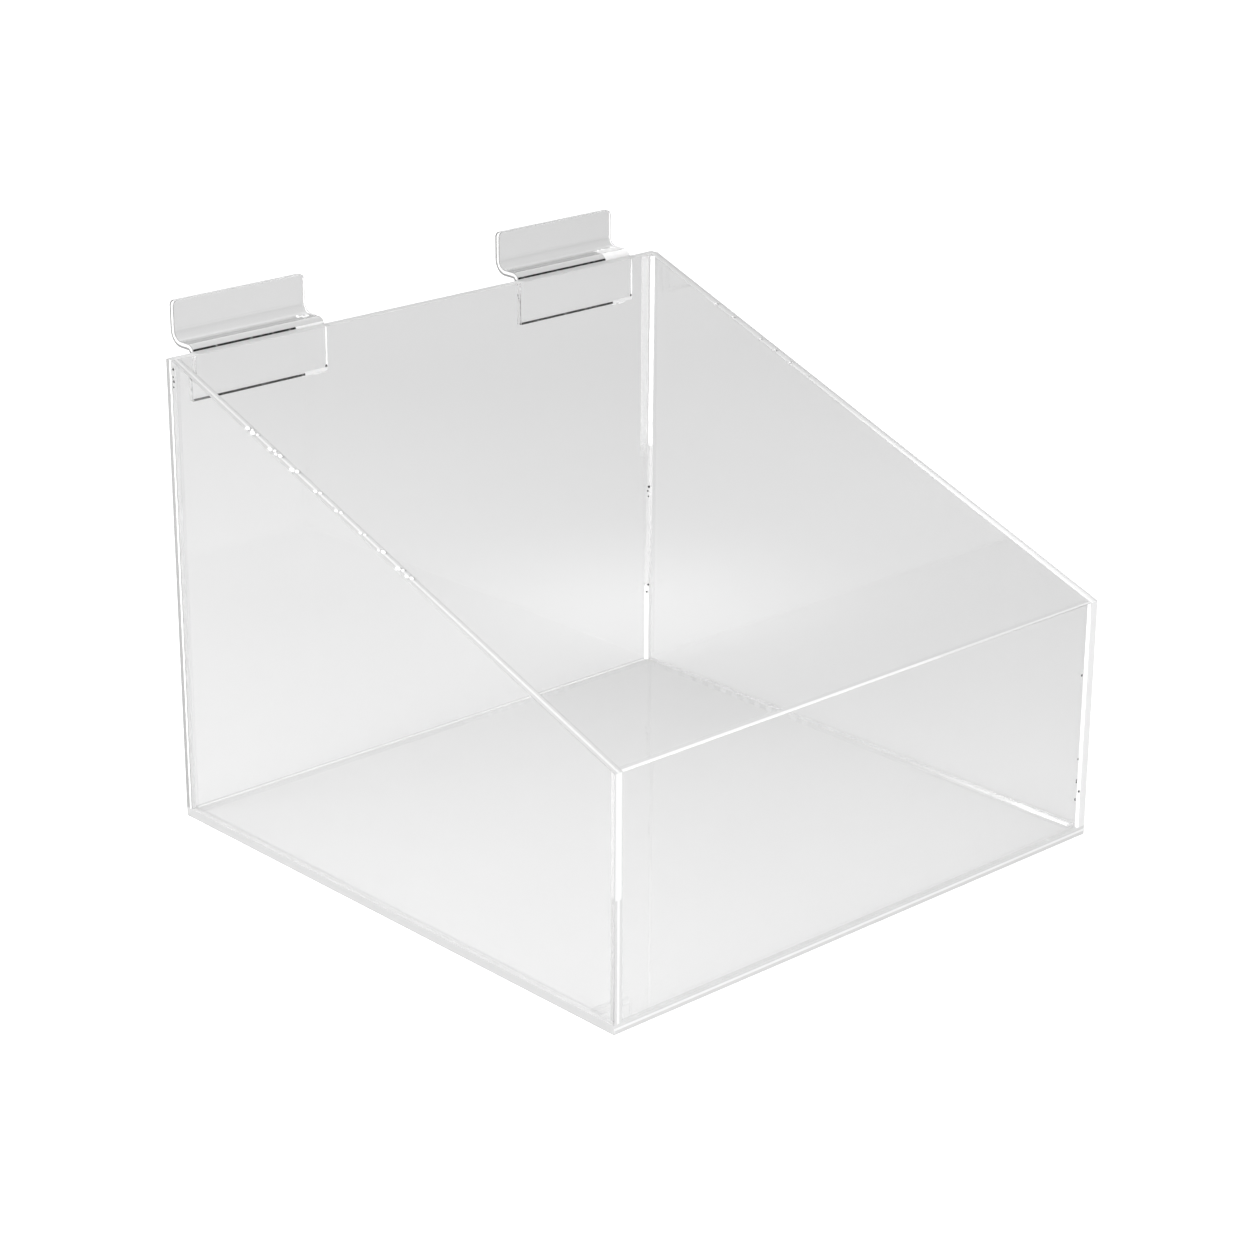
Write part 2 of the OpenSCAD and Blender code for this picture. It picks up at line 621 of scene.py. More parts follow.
def base_finish(spot, normal):
    if normal.y < -SQUARE_ON and FOOT_GLOW_LINE[0] < spot.z < FOOT_GLOW_LINE[1]:
        return bright_edge
    if abs(normal.x) > MOSTLY:
        return dull_edge if normal.x < 0 else shaded_base_end
    if abs(normal.z) < SQUARE_ON:
        return satin_edge
    if normal.z > 0 and spot.x > inside and abs(spot.y) < rear_inside:
        return right_foot_joint
    on_strip = abs(spot.x) > inside or spot.y > rear_inside or spot.y < fore_inside
    return foot_joint if normal.z > 0 and on_strip else clear_base


def base_joint(middle):
    return middle.z > SHEET - HAIR


outline = [(x, y, 0) for x, y in four_corners(-half_wide, half_wide, fore, rear)]
cuts = planes(X_AXIS, (-inside, inside)) + planes(Y_AXIS, (fore_inside, rear_inside))
cuts += planes(Z_AXIS, FOOT_GLOW_LINE)
lay_sheet("base_sheet", "base_plate", outline, Z_AXIS * SHEET, cuts, clear_base, base_finish, base_joint)

# %% [markdown]
# ## Back sheet
# The back is the tall sheet that carries the hooks. Its left edge is painted dark grey as
# shade, with a bright line painted along it as glow, and its top edge is painted greyer under
# the hooks as shade. The cuts mark off the strips where the sides butt against it and the
# places where the hooks' legs are cemented on.

# %% Back sheet
BACK_GLOW_LINE = (rear_inside + 0.5 * MM, rear_inside + 1.25 * MM)


# The left end: a thin band painted bright as glow, the rest painted dark grey as shade. Under the hooks the
# top edge is painted greyer, as shade.
def back_finish(spot, normal):
    if normal.z < -SQUARE_ON:
        return foot_joint
    if normal.x < -SQUARE_ON and BACK_GLOW_LINE[0] < spot.y < BACK_GLOW_LINE[1]:
        return bright_edge
    if abs(normal.x) > MOSTLY:
        return painted_shade_edge if normal.x < 0 else far_end
    at_hook = hook_low[0] < abs(spot.x) < hook_high[0]
    if abs(normal.y) < SQUARE_ON:
        return grey_edge if at_hook else satin_edge
    if normal.y < 0 and abs(spot.x) > inside:
        return rear_right_joint if spot.x > 0 else rear_left_joint
    on_leg = at_hook and spot.z > hook_low[2]
    return hook_joint if normal.y > 0 and on_leg else clear_sheet


def back_joint(middle):
    at_side = middle.y < rear_inside + HAIR and abs(middle.x) > inside
    return middle.z < foot + HAIR or at_side


outline = [(x, rear, z) for x, z in four_corners(-half_wide, half_wide, foot, back_top)]
upright_cuts = (inside, hook_low[0], hook_high[0])
cuts = planes(X_AXIS, [side * x for side in (-1, 1) for x in upright_cuts])
cuts += planes(Z_AXIS, [hook_low[2]]) + planes(Y_AXIS, BACK_GLOW_LINE)
lay_sheet("back_sheet", "back_panel", outline, -Y_AXIS * SHEET, cuts, clear_sheet, back_finish, back_joint)

# %% [markdown]
# ## Side sheets
# The two sides are the same sheet, mirrored. The left one's sloping edge was melted smooth
# with a flame. It is painted grey as shade, paler towards the rear, with a painted highlight
# along its middle and painted shade on its outer arris. A bright band is painted down its
# front end as glow, wider in the upper part. The right one's sawn edges are painted pale, as
# glow.

# %% Side sheets
A_LITTLE = 0.1
# A band down the left sheet's front end, painted bright as glow, wider above this height.
PAINTED_GLOW_ABOVE = 40.5 * MM
PAINTED_GLOW_WIDE = (0.4 * MM, 2.6 * MM)
PAINTED_GLOW_NARROW = (1.1 * MM, 2.0 * MM)
# The left slope's painted tones: a highlight line, grey shade and shade on the outer arris, all paler towards
# the rear.
MELTED_HIGHLIGHT = (1.1 * MM, 1.9 * MM)
slope_shade_stops = [(-100, 1, 0.66), (-20, 1, 0.70), (25, 1, 0.74), (97, 1, 0.78)]
highlight_stops = [(-100, 1, 0.86), (-20, 1, 0.92), (25, 1, 1.0), (97, 1, 1.0)]
arris_shade_stops = [(-100, 1, 0.36), (-75, 1, 0.36), (-30, 1, 0.50), (97, 1, 0.54)]
melted_slope_shade = seam_finish("melted_slope_shade", slope_shade_stops, "Y")
melted_highlight = seam_finish("melted_highlight", highlight_stops, "Y")
painted_shade_arris = seam_finish("painted_shade_arris", arris_shade_stops, "Y")
side_rear = rear_inside - SEAM
side_corners = [(fore, foot), (side_rear, foot), (side_rear, back_top), (fore, front_top)]


def side_finish(side, foot_seam, rear_seam, front_seam):
    """Chooses the finishes of one side sheet, which has these three joints."""
    left = side < 0

    def within(line, spot):
        return line[0] < spot.x + half_wide < line[1]

    def edge(spot, normal):
        if left and normal.z > A_LITTLE and normal.x < -A_LITTLE:
            return painted_shade_arris
        if left and normal.z > MOSTLY:
            return melted_highlight if within(MELTED_HIGHLIGHT, spot) else melted_slope_shade
        if normal.z > MOSTLY:
            return pale_edge
        return dull_edge if normal.x < -A_LITTLE else satin_edge

    def choose(spot, normal):
        if normal.z < -SQUARE_ON:
            return foot_seam
        if normal.y > SQUARE_ON:
            return rear_seam
        if normal.y < -SQUARE_ON and not left:
            return pale_edge
        if normal.y < -SQUARE_ON:
            line = PAINTED_GLOW_WIDE if spot.z > PAINTED_GLOW_ABOVE else PAINTED_GLOW_NARROW
            return bright_edge if within(line, spot) else satin_edge
        if abs(normal.x) < SQUARE_ON:
            return edge(spot, normal)
        on_front = spot.y < fore_inside and spot.z < front_top
        return front_seam if normal.x * side < 0 and on_front else clear_sheet

    return choose


def side_joint(middle):
    at_front = middle.y < fore + HAIR and abs(middle.x) < inside + HAIR
    return middle.z < foot + HAIR or middle.y > side_rear - HAIR or at_front


side_cuts = planes(Y_AXIS, [fore_inside]) + planes(Z_AXIS, (front_top, PAINTED_GLOW_ABOVE))
side_cuts += planes(X_AXIS, [x - half_wide for x in PAINTED_GLOW_WIDE + PAINTED_GLOW_NARROW + MELTED_HIGHLIGHT])
for side, name, node, *seams in (
    (-1, "left_sheet", "left_side", foot_joint, rear_left_joint, front_left_joint),
    (1, "right_sheet", "right_side", right_foot_joint, rear_right_joint, front_right_joint),
):
    outline = [(side * half_wide, y, z) for y, z in side_corners]
    choose = side_finish(side, *seams)
    lay_sheet(name, node, outline, -side * X_AXIS * SHEET, side_cuts, clear_sheet, choose, side_joint)

# %% [markdown]
# ## Front sheet
# The low front sheet sits between the two sides. Its top edge is painted pale in front as
# glow, brighter on the left as a painted reflection, and painted greyer behind as shade, so
# one cut runs along the edge and one across it.

# %% Front sheet
# Left of here the front lip is painted bright, as a reflection; behind the lip the top is painted grey, as
# shade.
PAINTED_REFLECTION_UNTIL = 29 * MM
FRONT_LIP = 1.2 * MM
melted_top_shade = edge_finish("melted_top_shade", 0.73)
front_half = inside - SEAM


def front_finish(spot, normal):
    if normal.z < -SQUARE_ON:
        return foot_joint
    if abs(normal.x) > SQUARE_ON:
        return front_right_joint if normal.x > 0 else front_left_joint
    if abs(normal.y) > SQUARE_ON:
        return clear_sheet
    if spot.y > fore + FRONT_LIP:
        return melted_top_shade
    return bright_edge if spot.x < PAINTED_REFLECTION_UNTIL else pale_edge


def front_joint(middle):
    return middle.z < foot + HAIR or abs(middle.x) > front_half - HAIR


outline = [(x, fore, z) for x, z in four_corners(-front_half, front_half, foot, front_top)]
cuts = planes(X_AXIS, [PAINTED_REFLECTION_UNTIL]) + planes(Y_AXIS, [fore + FRONT_LIP])
lay_sheet("front_sheet", "front_panel", outline, Y_AXIS * SHEET, cuts, clear_sheet, front_finish, front_joint)

# %% [markdown]
# ## Tree helpers
# What repeats or follows a path is grown by Geometry Nodes. A tree runs as a modifier on a
# host object, and what it makes is kept as a plain mesh, so that the host can go.


# %% Tree helpers
def new_tree(name, inputs):
    """A Geometry Nodes tree with these inputs and a finish, and its two end nodes."""
    tree = bpy.data.node_groups.new(name, "GeometryNodeTree")
    for label, kind in {"Geometry": "Geometry", **inputs, "Finish": "Material"}.items():
        tree.interface.new_socket(name=label, in_out="INPUT", socket_type="NodeSocket" + kind)
    tree.interface.new_socket(name="Geometry", in_out="OUTPUT", socket_type="NodeSocketGeometry")
    return tree, tree.nodes.new("NodeGroupInput"), tree.nodes.new("NodeGroupOutput")


def feed(start, node, **inputs):
    """Wires inputs of the tree to a node: Height="Thickness" wires Thickness to its Height."""
    for target, source in inputs.items():
        wire(start.outputs[source], node.inputs[target])


def flow(*nodes):
    """Wires the first output of each node to the first input of the next."""
    for before, after in zip(nodes, nodes[1:]):
        wire(before.outputs[0], after.inputs[0])


def sweep_nodes(tree):
    """A node that keeps a section level on its way, and the node that sweeps it."""
    level = add_node(tree, "GeometryNodeSetCurveNormal", "keep the section level")
    level.mode = "FREE"
    sweep = add_node(tree, "GeometryNodeCurveToMesh", "sweep", Fill_Caps=True)
    return level, sweep


def end_tree(tree, start, end, last):
    """Turns copies into real faces and gives them the finish."""
    whole = add_node(tree, "GeometryNodeRealizeInstances")
    coat = add_node(tree, "GeometryNodeSetMaterial")
    feed(start, coat, Material="Finish")
    flow(last, whole, coat, end)


def kept_result(name, host):
    """What the host's modifiers make, as a plain mesh. The host is removed."""
    shown = host.evaluated_get(bpy.context.evaluated_depsgraph_get())
    mesh = bpy.data.meshes.new_from_object(shown)
    mesh.name = name
    bpy.data.objects.remove(host)
    return mesh


def grown_mesh(name, data, tree, values):
    """Runs a tree on a curve or mesh with these values for its inputs."""
    host = add_object(name + "_host", data)
    modifier = host.modifiers.new("tree", "NODES")
    modifier.node_group = tree
    for item in tree.interface.items_tree:
        if item.in_out == "INPUT" and item.name in values:
            modifier[item.identifier] = values[item.name]
    return kept_result(name, host)


def poly_curve(name, points):
    """A curve of straight stretches through these points."""
    curve = bpy.data.curves.new(name, "CURVE")
    curve.dimensions = "3D"
    spline = curve.splines.new("POLY")
    spline.points.add(len(points) - 1)
    for target, point in zip(spline.points, points):
        target.co = (*point, 1)
    return curve


print("tree helpers are ready")

# %% [markdown]
# ## The hooks
# Each hook is a strip that was heated and bent to a Z: a leg behind the back sheet, a level
# web and a flange. That is a shape that follows a path, so a tree sweeps the strip's flat
# section along the bent centre line.


# %% Bent strip tree
def bent_strip_tree():
    tree, start, end = new_tree("bent_strip", {"Width": "Float", "Thickness": "Float"})
    level, sweep = sweep_nodes(tree)
    level.inputs["Normal"].default_value = X_AXIS
    section = add_node(tree, "GeometryNodeCurvePrimitiveQuadrilateral", "strip's section")
    feed(start, section, Width="Width", Height="Thickness")
    wire(section.outputs["Curve"], sweep.inputs["Profile Curve"])
    flow(start, level, sweep)
    end_tree(tree, start, end, sweep)
    return tree


strip_tree = bent_strip_tree()
print("tree", strip_tree.name, "has", len(strip_tree.nodes), "nodes")

# %% [markdown]
# ## Hook finishes
# Under the bend and under the leg a dark line is painted as shade, with a few paler spots in
# it, and the left end of each leg is painted grey as shade, with dark spots on it. Both are
# spots: noise that goes from one tone to another between two levels.

# %% Hook finishes
CRUMB = 1.5 * MM
CRUMB_ROUGHNESS = 0.6


def spotted_finish(name, levels, tones, size=CRUMB, rough=CRUMB_ROUGHNESS, detail=PLAIN_NOISE):
    """Spots from one tone to another, where noise crosses from one level to the next."""
    material, tree = new_material(name)
    body = add_node(tree, "ShaderNodeBsdfPrincipled", "spots", Roughness=rough)
    spots = noise_at(tree, size, detail)
    wire(spread(spots, levels, tones), body.inputs["Base Color"])
    end_material(tree, body.outputs[0])
    return material


# The dark line under the bend and the leg is painted shade; the leg's left end is painted grey as shade, with
# dark spots.
painted_dark_spots = spotted_finish("painted_dark_spots", levels=(0.6, 0.75), tones=(0.01, 0.3))
marked_end = spotted_finish("marked_end", levels=(0.57, 0.61), tones=(0.44, 0.08))
print("spotted finishes", painted_dark_spots.name, marked_end.name)

# %% [markdown]
# ## The hook's centre line
# The path is drawn in the plane of the bends: straight up the leg, round a tight bend to the
# web, and round a wider one to the flange. Each bend is part of a circle, in short steps.

# %% Hook path
HOOK_T = 2.0 * MM
LEG_BEND = 0.6 * MM
FLANGE_BEND = 3.0 * MM
BEND_STEPS = 12


def arc(centre, radius, start, stop):
    """Points on part of a circle in the (Y, Z) plane, from one angle to another."""
    angles = [math.radians(start + (stop - start) * i / BEND_STEPS) for i in range(BEND_STEPS + 1)]
    return [(centre[0] + radius * math.cos(a), centre[1] + radius * math.sin(a)) for a in angles]


def hook_path(low, high):
    """The strip's centre line: up the leg, over the web and up the flange."""
    half = HOOK_T / 2
    leg_rear = low[1] + HOOK_T
    flange_front = high[1] - HOOK_T
    web_top = back_top + HOOK_T
    leg_centre = (leg_rear + LEG_BEND, back_top - LEG_BEND)
    flange_centre = (flange_front - FLANGE_BEND, web_top + FLANGE_BEND)
    path = [(low[1] + half, low[2])]
    path += arc(leg_centre, LEG_BEND + half, 180, 90)
    path += arc(flange_centre, FLANGE_BEND + half, 270, 360)
    path.append((high[1] - half, high[2]))
    return path


def behind(path, spot):
    """How far a point lies to the rear of the strip's centre line."""
    place = Vector((spot.y, spot.z))
    best = None
    for a, b in zip(path, path[1:]):
        start, along = Vector(a), Vector(b) - Vector(a)
        share = (place - start).dot(along) / along.length_squared
        away = place - start - along * min(max(share, 0), 1)
        if best is None or away.length < abs(best):
            best = math.copysign(away.length, -along.cross(away))
    return best


print("centre line of", len(hook_path(hook_low, hook_high)), "points")

# %% [markdown]
# ## The faces of a hook
# The end faces of web and flange are painted pale as glow, with a rim of painted shade on
# one side. Along the bend and the leg's foot runs a dark line painted as shade, and its right
# end is filled with white cement. Above that line the bend is painted grey, as shade. Each
# face is known by its place and the way it faces.

# %% Hook faces
FLANGE_CORNER = 1.5 * MM
STRIP_ROUND = 0.25 * MM
RIM = 0.6 * MM
RIM_FROM = HOOK_T / 2 - STRIP_ROUND - RIM
# Heights of the dark lines painted as shade, at the leg's foot and in the bend.
SHADE_LINE_HIGH = 0.8 * MM
BEND_SHADE_LINE = 0.75 * MM
WHITE_HIGH = 1.2 * MM
WHITE_END = 9 * MM
WHITE_BEND = 11 * MM


def on_end(spot, normal, high):
    """True for the two end faces of the web and flange, with the flange's rounded corners."""
    turned = abs(normal.x) > A_LITTLE and abs(normal.y) < A_LITTLE
    on_corner = spot.z > high[2] - FLANGE_CORNER and turned
    return spot.z > back_top - LEG_BEND and (abs(normal.x) > SQUARE_ON or on_corner)


# End faces are painted pale as glow, with painted shade on a rim and on the arrises; the bend is painted dark
# low down and grey above, as shade.
def strip_finish(spot, normal, low, high, path):
    """The finish of one face of a hook."""
    above = spot.z > back_top - LEG_BEND
    on_corner = spot.z > high[2] - FLANGE_CORNER and abs(normal.y) < A_LITTLE
    if above and normal.x < -A_LITTLE:
        if normal.x > -SQUARE_ON and not on_corner:
            return shaded_edge
        return outline_edge if behind(path, spot) > RIM_FROM else satin_edge
    if normal.x < -SQUARE_ON:
        return marked_end
    if normal.x > SQUARE_ON:
        return outline_edge if above and behind(path, spot) < -RIM_FROM else bright_edge
    if normal.z > A_LITTLE and on_corner:
        return satin_edge
    at_bend = spot.z > back_top - HAIR and spot.y < low[1] + HOOK_T + LEG_BEND
    on_bend = normal.y < -A_LITTLE and at_bend
    on_web = normal.z > SQUARE_ON and spot.z < back_top + HOOK_T + HAIR
    in_shade_line = on_bend and spot.z < back_top + BEND_SHADE_LINE
    smeared = low[0] > 0 and (on_bend or on_web)
    if spot.x > high[0] - WHITE_BEND and (in_shade_line or smeared):
        return bright_edge
    if on_bend:
        return painted_dark_spots if in_shade_line else grey_edge
    if normal.y > -SQUARE_ON or spot.z > back_top:
        return clear_strip
    if spot.x > high[0] - WHITE_END and spot.z < low[2] + WHITE_HIGH:
        return bright_edge
    return painted_dark_spots if spot.z < low[2] + SHADE_LINE_HIGH else hook_joint


print("rims of", RIM / MM, "mm and painted_shade_lines of", SHADE_LINE_HIGH / MM, "mm")

# %% [markdown]
# ## Rounded strips
# The swept strip is sharp. The flange's two top corners are rounded first, then every cut
# edge, and the leg's lower end only by a hair. The end faces are inset for their rims, and
# weighted normals keep the flat stretches flat.

# %% Rounded strips
CORNER_STEPS = 6
SHARP = math.radians(50)
NEAR = HAIR / 5
FLAT_WEIGHT = 100


def is_lowest(edge, level):
    """True for the edges around the leg's lower end."""
    return max(vert.co.z for vert in edge.verts) < level + NEAR


def is_top_corner(edge, low, high):
    """True for the short upright corners at the two ends of the flange's top."""
    a, b = (vert.co for vert in edge.verts)
    at_end = abs(a.x - b.x) < NEAR and min(abs(a.x - low[0]), abs(a.x - high[0])) < NEAR
    return at_end and min(a.z, b.z) > high[2] - NEAR


def rounded_strip(name, swept, low, high, path):
    """The swept strip with rounded corners and edges, and with its finishes."""
    shape = bmesh.new()
    shape.from_mesh(swept)
    bmesh.ops.remove_doubles(shape, verts=shape.verts, dist=SAME_PLACE)
    corners = [edge for edge in shape.edges if is_top_corner(edge, low, high)]
    round_edges(shape, corners, FLANGE_CORNER, CORNER_STEPS)
    face_outwards(shape)
    sharp = [edge for edge in shape.edges if edge.is_manifold and edge.calc_face_angle() > SHARP]
    upper = [edge for edge in sharp if not is_lowest(edge, low[2])]
    round_edges(shape, upper, STRIP_ROUND, EDGE_STEPS)
    lowest = [edge for edge in shape.edges if is_lowest(edge, low[2])]
    round_edges(shape, lowest, HAIR, 1)
    cuts = planes(X_AXIS, (high[0] - WHITE_END, high[0] - WHITE_BEND))
    cuts += planes(Z_AXIS, (low[2] + SHADE_LINE_HIGH, low[2] + WHITE_HIGH))
    cut_faces(shape, cuts)
    for vert in shape.verts:
        vert.co.y = max(vert.co.y, low[1] + SEAM)
    face_outwards(shape)
    ends = [face for face in shape.faces if on_end(face.calc_center_median(), face.normal, high)]
    bmesh.ops.inset_region(shape, faces=ends, thickness=RIM, use_even_offset=True, use_boundary=True)
    face_outwards(shape)
    for face in shape.faces:
        face.smooth = True

    def choose(spot, normal):
        return strip_finish(spot, normal, low, high, path)

    return kept_mesh(name, shape, coat_faces(shape, clear_strip, choose))


def flat_kept_flat(name, mesh):
    """A copy of the mesh whose smooth shading leaves the broad faces flat."""
    host = add_object(name + "_host", mesh)
    host.modifiers.new("weigh", "WEIGHTED_NORMAL").weight = FLAT_WEIGHT
    return kept_result(name, host)


for node in ("left_hook", "right_hook"):
    name = node + "_strip"
    low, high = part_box(node)
    middle = (low[0] + high[0]) / 2
    path = hook_path(low, high)
    centre_line = poly_curve(name + "_path", [(middle, y, z) for y, z in path])
    values = {"Width": high[0] - low[0], "Thickness": HOOK_T, "Finish": clear_strip}
    swept = grown_mesh(name, centre_line, strip_tree, values)
    strip = flat_kept_flat(name, rounded_strip(name, swept, low, high, path))
    add_piece(name, strip, node)

# %% [markdown]
# ## Cement beads
# Along some inner corners a little cement was squeezed out and set as a flat bead, white
# where it holds air and clear elsewhere. A bead follows a seam, so a tree sweeps an oval
# along it, and noise makes the oval a bit fuller or slimmer on the way.

# %% Bead tree
UNIT_RADIUS = 0.5
RING_POINTS = 16
WOBBLES = 180
WOBBLE = (0.75, 1.2)


def bead_tree():
    inputs = {"Width": "Float", "Height": "Float", "Step": "Float", "Across": "Vector"}
    tree, start, end = new_tree("cement_bead", inputs)
    level, sweep = sweep_nodes(tree)
    feed(start, level, Normal="Across")
    steps = add_node(tree, "GeometryNodeResampleCurve", "short steps")
    steps.mode = "LENGTH"
    feed(start, steps, Length="Step")
    round_ring = {"Resolution": RING_POINTS, "Radius": UNIT_RADIUS}
    ring = add_node(tree, "GeometryNodeCurvePrimitiveCircle", "ring", **round_ring)
    squash = add_node(tree, "ShaderNodeCombineXYZ", "width and height", Z=1)
    feed(start, squash, X="Width", Y="Height")
    oval = add_node(tree, "GeometryNodeTransform", "oval")
    wire(ring.outputs["Curve"], oval.inputs["Geometry"])
    wire(squash.outputs[0], oval.inputs["Scale"])
    wire(oval.outputs["Geometry"], sweep.inputs["Profile Curve"])
    wobble = add_node(tree, "ShaderNodeTexNoise", "fuller and slimmer", Scale=WOBBLES)
    wire(spread(wobble.outputs["Fac"], (0.0, 1.0), WOBBLE), sweep.inputs["Scale"])
    flow(start, steps, level, sweep)
    end_tree(tree, start, end, sweep)
    return tree


bead_sweep = bead_tree()
print("tree", bead_sweep.name, "has", len(bead_sweep.nodes), "nodes")

# %% [markdown]
# ## Where the beads run
# One bead stands in the rear right corner, white at its foot and again in its upper half. A
# thin one lies along the back of the floor, and a wider one along the right side, which
# fades out towards the back. Each sits just off the sheets.

# %% Beads
BEAD_STEP = 1.0 * MM
OFF_SHEET = 0.03 * MM
SEATED = 0.62
WHITE = 0.98


def lay_bead(name, path, across, width, height, finish):
    """Sweeps a flat oval along the path, with its width lying along one direction."""
    values = {"Width": width, "Height": height, "Step": BEAD_STEP, "Across": across, "Finish": finish}
    mesh = grown_mesh(name, poly_curve(name + "_path", path), bead_sweep, values)
    for face in mesh.polygons:
        face.use_smooth = True
    add_piece(name, mesh)


CORNER_WIDE = 1.6 * MM
CORNER_HIGH = 0.4 * MM
SLANT = Vector((0.7071, -0.7071, 0))
# From the right side, from the back sheet, and the height
CORNER_PLACES = (
    (1.45 * MM, 0.65 * MM, foot + 0.3 * MM),
    (1.45 * MM, 0.65 * MM, 31 * MM),
    (0.65 * MM, 1.1 * MM, 84 * MM),
    (0.6 * MM, 1.5 * MM, back_top - 0.5 * MM),
)
bead_stops = even((0, 30.5), 1, WHITE) + even((31.5, 82), 0.08, WHITE) + even((86, 150), 1, WHITE)
rear_right_cement = seam_finish("rear_right_cement", bead_stops)
bead_path = [(inside - x, rear_inside - y, z) for x, y, z in CORNER_PLACES]
lay_bead("rear_right_bead", bead_path, SLANT, CORNER_WIDE, CORNER_HIGH, rear_right_cement)

FLOOR_BEAD = 0.45 * MM
FLOOR_LEFT = -inside + 1 * MM
FLOOR_RIGHT = inside - 2.5 * MM
floor_cement = seam_finish("floor_cement", even(FOOT_SEAM, 0.8, WHITE), "X")
floor_y = rear_inside - SEATED * FLOOR_BEAD - OFF_SHEET
floor_z = foot + SEATED * FLOOR_BEAD
bead_path = [(x, floor_y, floor_z) for x in (FLOOR_LEFT, FLOOR_RIGHT)]
lay_bead("back_floor_bead", bead_path, Z_AXIS, FLOOR_BEAD, FLOOR_BEAD, floor_cement)

RUN_WIDE = 2.4 * MM
RUN_HIGH = 1.0 * MM
RUN_FROM = fore_inside + 1 * MM
RUN_TO = -30 * MM
run_stops = [(-97, 1, WHITE), (-82, 1, WHITE), (-72, 0.3, WHITE), (-30, 0, WHITE)]
run_cement = seam_finish("run_cement", run_stops, "Y")
run_x = inside - SEATED * RUN_WIDE - OFF_SHEET
run_z = foot + SEATED * RUN_HIGH
bead_path = [(run_x, y, run_z) for y in (RUN_FROM, RUN_TO)]
lay_bead("right_floor_bead", bead_path, X_AXIS, RUN_WIDE, RUN_HIGH, run_cement)

# %% [markdown]
# ## A film of cement
# Where cement ran over the back sheet it dried to a dull film, beside the white bead in the
# upper half of the rear right corner. It is a very thin box, half clear and half white,
# that fades in from below.

# %% Film
FILM = 0.015 * MM
FILM_WIDE = (4.4 * MM, 1.1 * MM)
FILM_FROM = 78 * MM
FILM_TO = back_top - 0.4 * MM


def lay_film(name, low, high, finish):
    """A thin box between two corners."""
    shape = bmesh.new()
    bmesh.ops.create_cube(shape, size=1.0)
    size = Vector(high) - Vector(low)
    middle = (Vector(high) + Vector(low)) / 2
    for vert in shape.verts:
        vert.co = middle + Vector(a * b for a, b in zip(vert.co, size))
    add_piece(name, kept_mesh(name, shape, [finish]))


film_y = rear_inside - OFF_SHEET
film_low = (inside - FILM_WIDE[0], film_y - FILM, FILM_FROM)
film_high = (inside - FILM_WIDE[1], film_y, FILM_TO)
film_stops = [(78, 0.0, WHITE), (88, 0.5, WHITE), (150, 0.5, WHITE)]
lay_film("corner_film", film_low, film_high, seam_finish("corner_film", film_stops))

# %% [markdown]
# ## Balls on points
# Drops, bubbles, crumbs and dust are all tiny balls, so one recipe builds two trees: a ball
# on every point of a mesh, or on points scattered over its faces. A fixed seed gives each
# ball its own size.

# %% Ball trees
BALL_STEPS = 2


def ball_tree(name, scattered):
    inputs = {"Size": "Vector", "Least": "Float", "Density": "Float", "Seed": "Int"}
    tree, start, end = new_tree(name, inputs)
    if scattered:
        points = add_node(tree, "GeometryNodeDistributePointsOnFaces", "scatter")
        feed(start, points, Density="Density", Seed="Seed")
    else:
        points = add_node(tree, "GeometryNodeMeshToPoints", "every point")
    round_ball = {"Radius": UNIT_RADIUS, "Subdivisions": BALL_STEPS}
    ball = add_node(tree, "GeometryNodeMeshIcoSphere", "ball", **round_ball)
    smooth = add_node(tree, "GeometryNodeSetShadeSmooth")
    chance = add_node(tree, "FunctionNodeRandomValue", "own size", Max=1.0)
    feed(start, chance, Min="Least", Seed="Seed")
    scale = add_node(tree, "ShaderNodeVectorMath", "scale", "SCALE")
    wire(start.outputs["Size"], scale.inputs[0])
    wire(chance.outputs["Value"], scale.inputs["Scale"])
    place = add_node(tree, "GeometryNodeInstanceOnPoints")
    wire(smooth.outputs[0], place.inputs["Instance"])
    wire(scale.outputs[0], place.inputs["Scale"])
    flow(ball, smooth)
    flow(start, points, place)
    end_tree(tree, start, end, place)
    return tree


pointed_balls = ball_tree("balls_on_points", False)
scattered_balls = ball_tree("balls_on_faces", True)


def lay_balls(name, points, size, least, seed, finish, density=0.0):
    """Balls on points in mm or, with a density, scattered over patches of four points each."""
    tree = scattered_balls if density else pointed_balls
    firsts = range(0, len(points), 4) if density else ()
    patches = [tuple(range(first, first + 4)) for first in firsts]
    mesh = bpy.data.meshes.new(name + "_points")
    mesh.from_pydata([Vector(point) * MM for point in points], [], patches)
    values = {"Size": Vector(size) * MM, "Least": least, "Density": density, "Seed": seed, "Finish": finish}
    add_piece(name, grown_mesh(name, mesh, tree, values))


print("trees", pointed_balls.name, "and", scattered_balls.name)

# %% [markdown]
# ## Drops on the sloping edges
# The flame left drops on the sloping edges: bright ones on the left, painted as glints, and
# a few small grey ones on the right. They are flat balls on points of the slope, in pairs on
# the left.

# %% Drops
SLOPE = (back_top - front_top) / (rear_inside - fore)
DROP_PAIR = ((-99.0, 0.5), (-98.2, -0.6))
LEFT_DROPS = (60.4, 58, 49.7, 47.1, 39.3, 28.5, 18.9, 8, -0.2, -8.9, -12.7)
RIGHT_DROP_X = 97.6
RIGHT_DROPS = (65.9, 57.8, 44.9, 38.1, 31, 22.7)
LEAST_DROP = 0.45


def on_slope(x, y):
    """A point on a sloping edge, in mm."""
    return (x, y, front_top / MM + SLOPE * (y - fore / MM))


drops = [on_slope(x, y + shift) for y in LEFT_DROPS for x, shift in DROP_PAIR]
# The left drops are painted bright, as glints.
lay_balls("melt_drops", drops, (1.8, 2.6, 1.5), LEAST_DROP, seed=4, finish=bright_edge)
drops = [on_slope(RIGHT_DROP_X, y) for y in RIGHT_DROPS]
lay_balls("right_melt_drops", drops, (1.2, 1.7, 1.1), LEAST_DROP, seed=3, finish=grey_edge)
